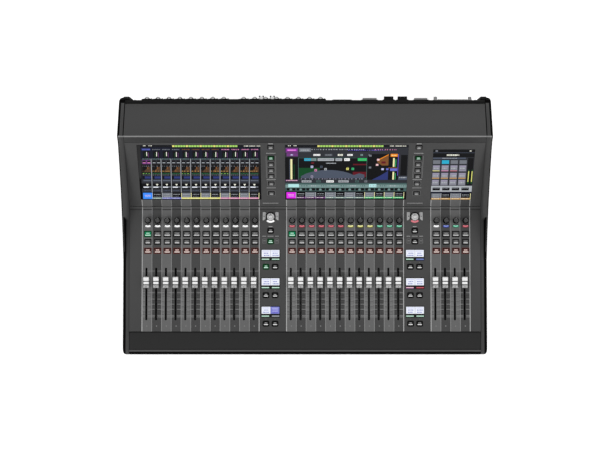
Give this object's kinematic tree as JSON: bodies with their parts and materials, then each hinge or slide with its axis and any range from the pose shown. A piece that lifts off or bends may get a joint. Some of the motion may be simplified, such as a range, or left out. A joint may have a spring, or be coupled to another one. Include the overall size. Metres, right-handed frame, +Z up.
{
  "type": "mixing console",
  "caption": "Wedge-shaped digital mixing console with sliding faders, rotary knobs, press keys, sloping displays under a hood, a padded armrest and a rear socket panel.",
  "frame": {"origin": "centre of the footprint on the surface the console stands on", "axes": "+X to the right of the person at the desk, +Y to the rear, +Z up"},
  "size_m": [0.7904, 0.5638, 0.323],
  "materials": {
    "grey_casing": "fine-textured matt grey powder coat",
    "grey_panel": "matt grey coated control panel",
    "black_metal": "fine-textured black powder coat",
    "soft_black": "soft matt dark armrest covering",
    "rubber": "moulded matt",
    "glass_black": "glossy black display glass",
    "key_grey": "moulded silicone keys",
    "knob_black": "satin moulded plastic with a light cap",
    "white_cap": "satin moulded plastic with dark bands",
    "silver": "turned and satin",
    "bare_metal": "zinc plated",
    "socket_black": "moulded connector shells",
    "board_green": "coated circuit board"
  },
  "bodies": {
    "console": {"armrest": "soft_black", "bottom_tray": "black_metal", "centre_display": "glass_black", "display_panel": "grey_casing", "encoder_board": "knob_black", "fader_frame": "bare_metal", "fader_panel": "grey_panel", "front_rail": "grey_casing", "hood": "grey_casing", "left_cheek": "grey_casing", "left_display": "glass_black", "left_foot_runner": "rubber", "left_rear_bumper": "rubber", "main_board": "board_green", "mic_input_sockets": "socket_black", "output_sockets": "socket_black", "power_inlets": "socket_black", "power_supply": "bare_metal", "rear_panel": "black_metal", "right_cheek": "grey_casing", "right_display": "glass_black", "right_foot_runner": "rubber", "right_rear_bumper": "rubber"},
    "fader_01": {"fader_01": "white_cap"},
    "fader_02": {"fader_02": "white_cap"},
    "fader_03": {"fader_03": "white_cap"},
    "fader_04": {"fader_04": "white_cap"},
    "fader_05": {"fader_05": "white_cap"},
    "fader_06": {"fader_06": "white_cap"},
    "fader_07": {"fader_07": "white_cap"},
    "fader_08": {"fader_08": "white_cap"},
    "fader_09": {"fader_09": "white_cap"},
    "fader_10": {"fader_10": "white_cap"},
    "fader_11": {"fader_11": "white_cap"},
    "fader_12": {"fader_12": "white_cap"},
    "fader_13": {"fader_13": "white_cap"},
    "fader_14": {"fader_14": "white_cap"},
    "fader_15": {"fader_15": "white_cap"},
    "fader_16": {"fader_16": "white_cap"},
    "fader_17": {"fader_17": "white_cap"},
    "fader_18": {"fader_18": "white_cap"},
    "fader_19": {"fader_19": "white_cap"},
    "fader_20": {"fader_20": "white_cap"},
    "fader_21": {"fader_21": "white_cap"},
    "fader_22": {"fader_22": "white_cap"},
    "fader_23": {"fader_23": "white_cap"},
    "fader_24": {"fader_24": "white_cap"},
    "fader_25": {"fader_25": "white_cap"},
    "fader_26": {"fader_26": "white_cap"},
    "fader_27": {"fader_27": "white_cap"},
    "fader_28": {"fader_28": "white_cap"},
    "left_select_knob": {"left_select_knob": "silver"},
    "right_select_knob": {"right_select_knob": "silver"},
    "left_bank_keys": {"left_bank_keys": "key_grey"},
    "centre_bank_keys": {"centre_bank_keys": "key_grey"},
    "right_bank_keys": {"right_bank_keys": "key_grey"},
    "left_column_keys": {"left_column_keys": "key_grey"},
    "right_column_keys": {"right_column_keys": "key_grey"},
    "left_screen_keys": {"left_screen_keys": "key_grey"},
    "right_screen_keys": {"right_screen_keys": "key_grey"}
  },
  "joints": [
    {"name": "fader_01_slide", "type": "slide", "parent": "console", "child": "fader_01", "axis": [0, 0.9936, 0.1132], "range_m": [-0.075, 0.025]},
    {"name": "fader_02_slide", "type": "slide", "parent": "console", "child": "fader_02", "axis": [0, 0.9936, 0.1132], "range_m": [-0.075, 0.025]},
    {"name": "fader_03_slide", "type": "slide", "parent": "console", "child": "fader_03", "axis": [0, 0.9936, 0.1132], "range_m": [-0.075, 0.025]},
    {"name": "fader_04_slide", "type": "slide", "parent": "console", "child": "fader_04", "axis": [0, 0.9936, 0.1132], "range_m": [-0.075, 0.025]},
    {"name": "fader_05_slide", "type": "slide", "parent": "console", "child": "fader_05", "axis": [0, 0.9936, 0.1132], "range_m": [-0.075, 0.025]},
    {"name": "fader_06_slide", "type": "slide", "parent": "console", "child": "fader_06", "axis": [0, 0.9936, 0.1132], "range_m": [-0.075, 0.025]},
    {"name": "fader_07_slide", "type": "slide", "parent": "console", "child": "fader_07", "axis": [0, 0.9936, 0.1132], "range_m": [-0.075, 0.025]},
    {"name": "fader_08_slide", "type": "slide", "parent": "console", "child": "fader_08", "axis": [0, 0.9936, 0.1132], "range_m": [-0.075, 0.025]},
    {"name": "fader_09_slide", "type": "slide", "parent": "console", "child": "fader_09", "axis": [0, 0.9936, 0.1132], "range_m": [-0.075, 0.025]},
    {"name": "fader_10_slide", "type": "slide", "parent": "console", "child": "fader_10", "axis": [0, 0.9936, 0.1132], "range_m": [-0.075, 0.025]},
    {"name": "fader_11_slide", "type": "slide", "parent": "console", "child": "fader_11", "axis": [0, 0.9936, 0.1132], "range_m": [-0.075, 0.025]},
    {"name": "fader_12_slide", "type": "slide", "parent": "console", "child": "fader_12", "axis": [0, 0.9936, 0.1132], "range_m": [-0.075, 0.025]},
    {"name": "fader_13_slide", "type": "slide", "parent": "console", "child": "fader_13", "axis": [0, 0.9936, 0.1132], "range_m": [-0.075, 0.025]},
    {"name": "fader_14_slide", "type": "slide", "parent": "console", "child": "fader_14", "axis": [0, 0.9936, 0.1132], "range_m": [-0.075, 0.025]},
    {"name": "fader_15_slide", "type": "slide", "parent": "console", "child": "fader_15", "axis": [0, 0.9936, 0.1132], "range_m": [-0.075, 0.025]},
    {"name": "fader_16_slide", "type": "slide", "parent": "console", "child": "fader_16", "axis": [0, 0.9936, 0.1132], "range_m": [-0.075, 0.025]},
    {"name": "fader_17_slide", "type": "slide", "parent": "console", "child": "fader_17", "axis": [0, 0.9936, 0.1132], "range_m": [-0.075, 0.025]},
    {"name": "fader_18_slide", "type": "slide", "parent": "console", "child": "fader_18", "axis": [0, 0.9936, 0.1132], "range_m": [-0.075, 0.025]},
    {"name": "fader_19_slide", "type": "slide", "parent": "console", "child": "fader_19", "axis": [0, 0.9936, 0.1132], "range_m": [-0.075, 0.025]},
    {"name": "fader_20_slide", "type": "slide", "parent": "console", "child": "fader_20", "axis": [0, 0.9936, 0.1132], "range_m": [-0.075, 0.025]},
    {"name": "fader_21_slide", "type": "slide", "parent": "console", "child": "fader_21", "axis": [0, 0.9936, 0.1132], "range_m": [-0.075, 0.025]},
    {"name": "fader_22_slide", "type": "slide", "parent": "console", "child": "fader_22", "axis": [0, 0.9936, 0.1132], "range_m": [-0.075, 0.025]},
    {"name": "fader_23_slide", "type": "slide", "parent": "console", "child": "fader_23", "axis": [0, 0.9936, 0.1132], "range_m": [-0.075, 0.025]},
    {"name": "fader_24_slide", "type": "slide", "parent": "console", "child": "fader_24", "axis": [0, 0.9936, 0.1132], "range_m": [-0.075, 0.025]},
    {"name": "fader_25_slide", "type": "slide", "parent": "console", "child": "fader_25", "axis": [0, 0.9936, 0.1132], "range_m": [-0.075, 0.025]},
    {"name": "fader_26_slide", "type": "slide", "parent": "console", "child": "fader_26", "axis": [0, 0.9936, 0.1132], "range_m": [-0.075, 0.025]},
    {"name": "fader_27_slide", "type": "slide", "parent": "console", "child": "fader_27", "axis": [0, 0.9936, 0.1132], "range_m": [-0.075, 0.025]},
    {"name": "fader_28_slide", "type": "slide", "parent": "console", "child": "fader_28", "axis": [0, 0.9936, 0.1132], "range_m": [-0.075, 0.025]},
    {"name": "left_select_knob_turn", "type": "hinge", "parent": "console", "child": "left_select_knob", "pos_m": [-0.0749, 0.01467, 0.14043], "axis": [0, -0.1132, 0.9936], "continuous": true},
    {"name": "right_select_knob_turn", "type": "hinge", "parent": "console", "child": "right_select_knob", "pos_m": [0.239, 0.01467, 0.14043], "axis": [0, -0.1132, 0.9936], "continuous": true},
    {"name": "left_bank_keys_press", "type": "slide", "parent": "console", "child": "left_bank_keys", "axis": [0, -0.1132, 0.9936], "range_m": [-0.0008, 0], "stiffness_N_per_m": 1500, "springref_m": 0.001},
    {"name": "centre_bank_keys_press", "type": "slide", "parent": "console", "child": "centre_bank_keys", "axis": [0, -0.1132, 0.9936], "range_m": [-0.0008, 0], "stiffness_N_per_m": 1500, "springref_m": 0.001},
    {"name": "right_bank_keys_press", "type": "slide", "parent": "console", "child": "right_bank_keys", "axis": [0, -0.1132, 0.9936], "range_m": [-0.0008, 0], "stiffness_N_per_m": 1500, "springref_m": 0.001},
    {"name": "left_column_keys_press", "type": "slide", "parent": "console", "child": "left_column_keys", "axis": [0, -0.1132, 0.9936], "range_m": [-0.0008, 0], "stiffness_N_per_m": 1500, "springref_m": 0.001},
    {"name": "right_column_keys_press", "type": "slide", "parent": "console", "child": "right_column_keys", "axis": [0, -0.1132, 0.9936], "range_m": [-0.0008, 0], "stiffness_N_per_m": 1500, "springref_m": 0.001},
    {"name": "left_screen_keys_press", "type": "slide", "parent": "console", "child": "left_screen_keys", "axis": [0, -0.8271, 0.5621], "range_m": [-0.0008, 0], "stiffness_N_per_m": 1500, "springref_m": 0.001},
    {"name": "right_screen_keys_press", "type": "slide", "parent": "console", "child": "right_screen_keys", "axis": [0, -0.8271, 0.5621], "range_m": [-0.0008, 0], "stiffness_N_per_m": 1500, "springref_m": 0.001}
  ]
}
